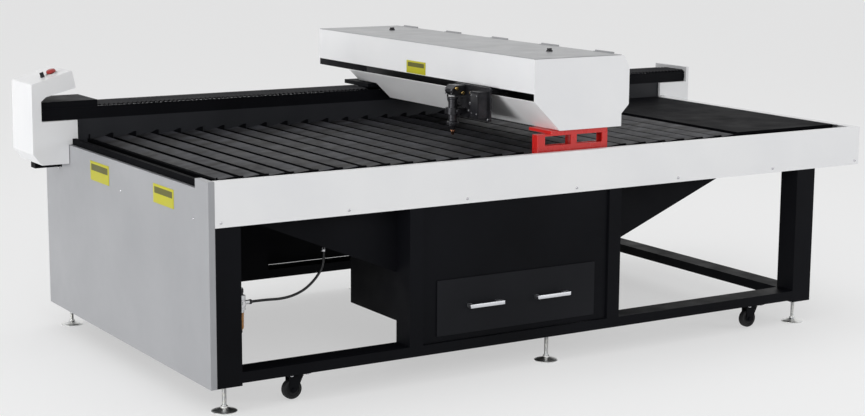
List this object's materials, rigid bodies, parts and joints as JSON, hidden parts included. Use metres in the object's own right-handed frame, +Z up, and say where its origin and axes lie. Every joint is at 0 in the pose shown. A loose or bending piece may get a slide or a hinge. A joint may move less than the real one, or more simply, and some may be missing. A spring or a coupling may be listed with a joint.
{
  "type": "laser cutting machine",
  "caption": "Flatbed laser cutting machine with a slatted bed, a travelling gantry with a laser head, a raised rear rail, a dust hopper with a drawer, and a steel frame on feet.",
  "frame": {"origin": "middle of the bounding box on the floor", "axes": "+X along the table from the console end to the end with the flat deck, +Y from the front skirt to the back, +Z up"},
  "size_m": [3.434, 1.818, 1.2304],
  "materials": {
    "white_paint": "satin",
    "grey_paint": "satin",
    "black_paint": "matte",
    "black_deck": "satin",
    "slat_steel": "satin",
    "ground_steel": "polished",
    "bellows_fabric": "matte",
    "brushed_aluminium": "brushed",
    "beam_aluminium": "satin",
    "black_anodised": "satin",
    "red_paint": "gloss",
    "red_button": "gloss",
    "dark_plastic": "satin",
    "grey_bar": "satin",
    "tube_glass": "gloss",
    "cast_metal": "satin",
    "amber_bowl": "gloss",
    "black_hose": "satin",
    "rubber": "matte",
    "zinc": "satin"
  },
  "bodies": {
    "table": {"legs": "black_paint", "bottom_rails": "black_paint", "table_frame": "black_paint", "right_deck": "black_deck", "bed_rim": "black_deck", "slat_combs": "black_deck", "bed_slats": "slat_steel", "rear_wall": "black_deck", "rear_rail_beam": "black_paint", "guide_rails": "ground_steel", "bellows_left": "bellows_fabric", "bellows_right": "bellows_fabric", "dust_hopper": "black_paint", "drawer_cabinet": "black_paint", "electrical_cabinet": "black_paint", "rear_cover_panel": "black_paint", "air_regulator": "cast_metal", "filter_bowl": "amber_bowl", "air_hose": "black_hose", "cover_screws": "zinc", "front_skirt": "white_paint", "left_end_cover": "white_paint", "right_end_skirt": "white_paint", "rear_skirt": "white_paint", "rail_end_cap": "white_paint", "console": "white_paint"},
    "gantry": {"gantry_cover": "white_paint", "near_end_plate": "white_paint", "far_end_plate": "white_paint", "gantry_apron": "brushed_aluminium", "gantry_beam": "beam_aluminium", "riser_bracket": "red_paint", "front_bearings": "ground_steel", "rear_carriage": "black_paint", "laser_tube": "tube_glass"},
    "lid": {"tube_lid": "grey_paint"},
    "latch_near_body": {"latch_near": "dark_plastic"},
    "latch_far_body": {"latch_far": "dark_plastic"},
    "head": {"head_carriage": "black_anodised", "head_hose": "black_hose"},
    "focus": {"focus_tube": "black_anodised"},
    "stop_button": {"emergency_stop": "red_button"},
    "key": {"key_switch": "dark_plastic"},
    "drawer": {"dust_drawer": "black_paint", "drawer_handles": "grey_bar"},
    "door": {"cabinet_door": "black_paint"},
    "caster_front_left": {"caster_fork_front_left": "black_paint"},
    "wheel_front_left": {"caster_wheel_front_left": "rubber"},
    "caster_front_right": {"caster_fork_front_right": "black_paint"},
    "wheel_front_right": {"caster_wheel_front_right": "rubber"},
    "caster_rear_left": {"caster_fork_rear_left": "black_paint"},
    "wheel_rear_left": {"caster_wheel_rear_left": "rubber"},
    "caster_rear_right": {"caster_fork_rear_right": "black_paint"},
    "wheel_rear_right": {"caster_wheel_rear_right": "rubber"},
    "levelling_foot_front_left": {"foot_front_left": "zinc"},
    "levelling_foot_front_middle": {"foot_front_middle": "zinc"},
    "levelling_foot_front_right": {"foot_front_right": "zinc"},
    "levelling_foot_rear_left": {"foot_rear_left": "zinc"},
    "levelling_foot_rear_middle": {"foot_rear_middle": "zinc"},
    "levelling_foot_rear_right": {"foot_rear_right": "zinc"}
  },
  "joints": [
    {"name": "gantry_slide", "type": "slide", "parent": "table", "child": "gantry", "axis": [1, 0, 0], "range_m": [-1.24, 1.19], "deforming": ["bellows_left", "bellows_right"]},
    {"name": "head_slide", "type": "slide", "parent": "gantry", "child": "head", "axis": [0, 1, 0], "range_m": [-0.22, 0.76]},
    {"name": "focus_slide", "type": "slide", "parent": "head", "child": "focus", "axis": [0, 0, 1], "range_m": [-0.03, 0.006]},
    {"name": "lid_hinge", "type": "hinge", "parent": "gantry", "child": "lid", "pos_m": [0.26899, 0.0265, 1.2194], "axis": [0, 1, 0], "range_deg": [0, 100]},
    {"name": "latch_near_turn", "type": "hinge", "parent": "lid", "child": "latch_near_body", "pos_m": [0.08999, -0.6, 1.215], "axis": [0, 0, -1], "range_deg": [0, 90]},
    {"name": "latch_far_turn", "type": "hinge", "parent": "lid", "child": "latch_far_body", "pos_m": [0.08999, 0.659, 1.215], "axis": [0, 0, 1], "range_deg": [0, 90]},
    {"name": "stop_press", "type": "slide", "parent": "table", "child": "stop_button", "axis": [0.2828, 0, -0.9592], "range_m": [0, 0.004], "stiffness_N_per_m": 3000},
    {"name": "key_turn", "type": "hinge", "parent": "table", "child": "key", "pos_m": [-1.64211, 0.539, 1.09249], "axis": [-0.2828, 0, 0.9592], "range_deg": [0, 90]},
    {"name": "drawer_slide", "type": "slide", "parent": "table", "child": "drawer", "axis": [0, -1, 0], "range_m": [0, 0.35]},
    {"name": "cabinet_door_hinge", "type": "hinge", "parent": "table", "child": "door", "pos_m": [-1.42901, 0.757, 0.415], "axis": [0, 0, 1], "range_deg": [0, 110]},
    {"name": "swivel_front_left", "type": "hinge", "parent": "table", "child": "caster_front_left", "pos_m": [-1.19701, -0.834, 0.106], "axis": [0, 0, 1], "continuous": true},
    {"name": "roll_front_left", "type": "hinge", "parent": "caster_front_left", "child": "wheel_front_left", "pos_m": [-1.21501, -0.834, 0.046], "axis": [0, 1, 0], "continuous": true},
    {"name": "swivel_front_right", "type": "hinge", "parent": "table", "child": "caster_front_right", "pos_m": [1.01299, -0.834, 0.106], "axis": [0, 0, 1], "continuous": true},
    {"name": "roll_front_right", "type": "hinge", "parent": "caster_front_right", "child": "wheel_front_right", "pos_m": [0.99499, -0.834, 0.046], "axis": [0, 1, 0], "continuous": true},
    {"name": "swivel_rear_left", "type": "hinge", "parent": "table", "child": "caster_rear_left", "pos_m": [-1.19701, 0.702, 0.106], "axis": [0, 0, 1], "continuous": true},
    {"name": "roll_rear_left", "type": "hinge", "parent": "caster_rear_left", "child": "wheel_rear_left", "pos_m": [-1.21501, 0.702, 0.046], "axis": [0, 1, 0], "continuous": true},
    {"name": "swivel_rear_right", "type": "hinge", "parent": "table", "child": "caster_rear_right", "pos_m": [1.01299, 0.702, 0.106], "axis": [0, 0, 1], "continuous": true},
    {"name": "roll_rear_right", "type": "hinge", "parent": "caster_rear_right", "child": "wheel_rear_right", "pos_m": [0.99499, 0.702, 0.046], "axis": [0, 1, 0], "continuous": true},
    {"name": "turn_foot_front_left", "type": "hinge", "parent": "table", "child": "levelling_foot_front_left", "pos_m": [-1.48701, -0.834, 0.06], "axis": [0, 0, 1], "continuous": true},
    {"name": "turn_foot_front_middle", "type": "hinge", "parent": "table", "child": "levelling_foot_front_middle", "pos_m": [-0.06701, -0.834, 0.06], "axis": [0, 0, 1], "continuous": true},
    {"name": "turn_foot_front_right", "type": "hinge", "parent": "table", "child": "levelling_foot_front_right", "pos_m": [1.25799, -0.834, 0.06], "axis": [0, 0, 1], "continuous": true},
    {"name": "turn_foot_rear_left", "type": "hinge", "parent": "table", "child": "levelling_foot_rear_left", "pos_m": [-1.48701, 0.702, 0.06], "axis": [0, 0, 1], "continuous": true},
    {"name": "turn_foot_rear_middle", "type": "hinge", "parent": "table", "child": "levelling_foot_rear_middle", "pos_m": [-0.06701, 0.702, 0.06], "axis": [0, 0, 1], "continuous": true},
    {"name": "turn_foot_rear_right", "type": "hinge", "parent": "table", "child": "levelling_foot_rear_right", "pos_m": [1.25799, 0.702, 0.06], "axis": [0, 0, 1], "continuous": true}
  ]
}
